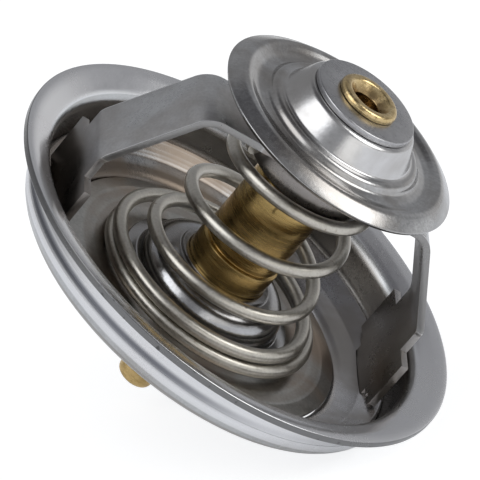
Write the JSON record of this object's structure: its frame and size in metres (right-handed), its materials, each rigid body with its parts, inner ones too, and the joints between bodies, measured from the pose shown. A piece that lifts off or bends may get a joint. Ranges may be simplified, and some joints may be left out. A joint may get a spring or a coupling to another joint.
{
  "type": "engine thermostat",
  "caption": "Round bypass thermostat insert with a flanged dish, a brass wax element, a conical spring under a strap bridge and a stepped bypass disc.",
  "frame": {"origin": "middle of the clamping lip, level with its upper face", "axes": "+Z along the axis towards the engine side and the bypass disc, X along the two bridges"},
  "size_m": [0.067, 0.067, 0.0541],
  "materials": {
    "pressed_steel": "satin pressed sheet",
    "plate_steel": "dull, slightly tarnished",
    "polished_steel": "polished with fine grain",
    "washer_steel": "dark zinc plated",
    "spring_steel": "drawn wire with light rust specks",
    "hard_steel": "ground and polished",
    "brass": "turned, slightly tarnished",
    "boot_rubber": "matt",
    "backup_plastic": "plain",
    "wax": "waxy with metal powder"
  },
  "bodies": {
    "frame": {"flange_dish": "pressed_steel", "seat_ring": "pressed_steel", "upper_bridge": "pressed_steel", "lower_bridge": "pressed_steel", "pin_seat": "brass", "piston_pin": "hard_steel", "main_spring": "spring_steel"},
    "valve": {"valve_plate": "plate_steel", "guide_cap": "polished_steel", "element_case": "brass", "wax_charge": "wax", "rubber_boot": "boot_rubber", "backup_washer": "backup_plastic", "piston_guide": "brass", "retaining_ring": "spring_steel", "bypass_stem": "brass", "end_washer": "washer_steel", "spring_seat": "washer_steel", "bypass_spring": "spring_steel"},
    "bypass": {"bypass_disc": "polished_steel", "stem_bush": "brass"}
  },
  "joints": [
    {"name": "main_valve_lift", "type": "slide", "parent": "frame", "child": "valve", "axis": [0, 0, 1], "range_m": [0, 0.008], "stiffness_N_per_m": 2700, "springref_m": -0.03, "deforming": ["main_spring"]},
    {"name": "bypass_relief", "type": "slide", "parent": "valve", "child": "bypass", "axis": [0, 0, -1], "range_m": [0, 0.003], "stiffness_N_per_m": 1270, "springref_m": -0.004, "deforming": ["bypass_spring"]}
  ]
}
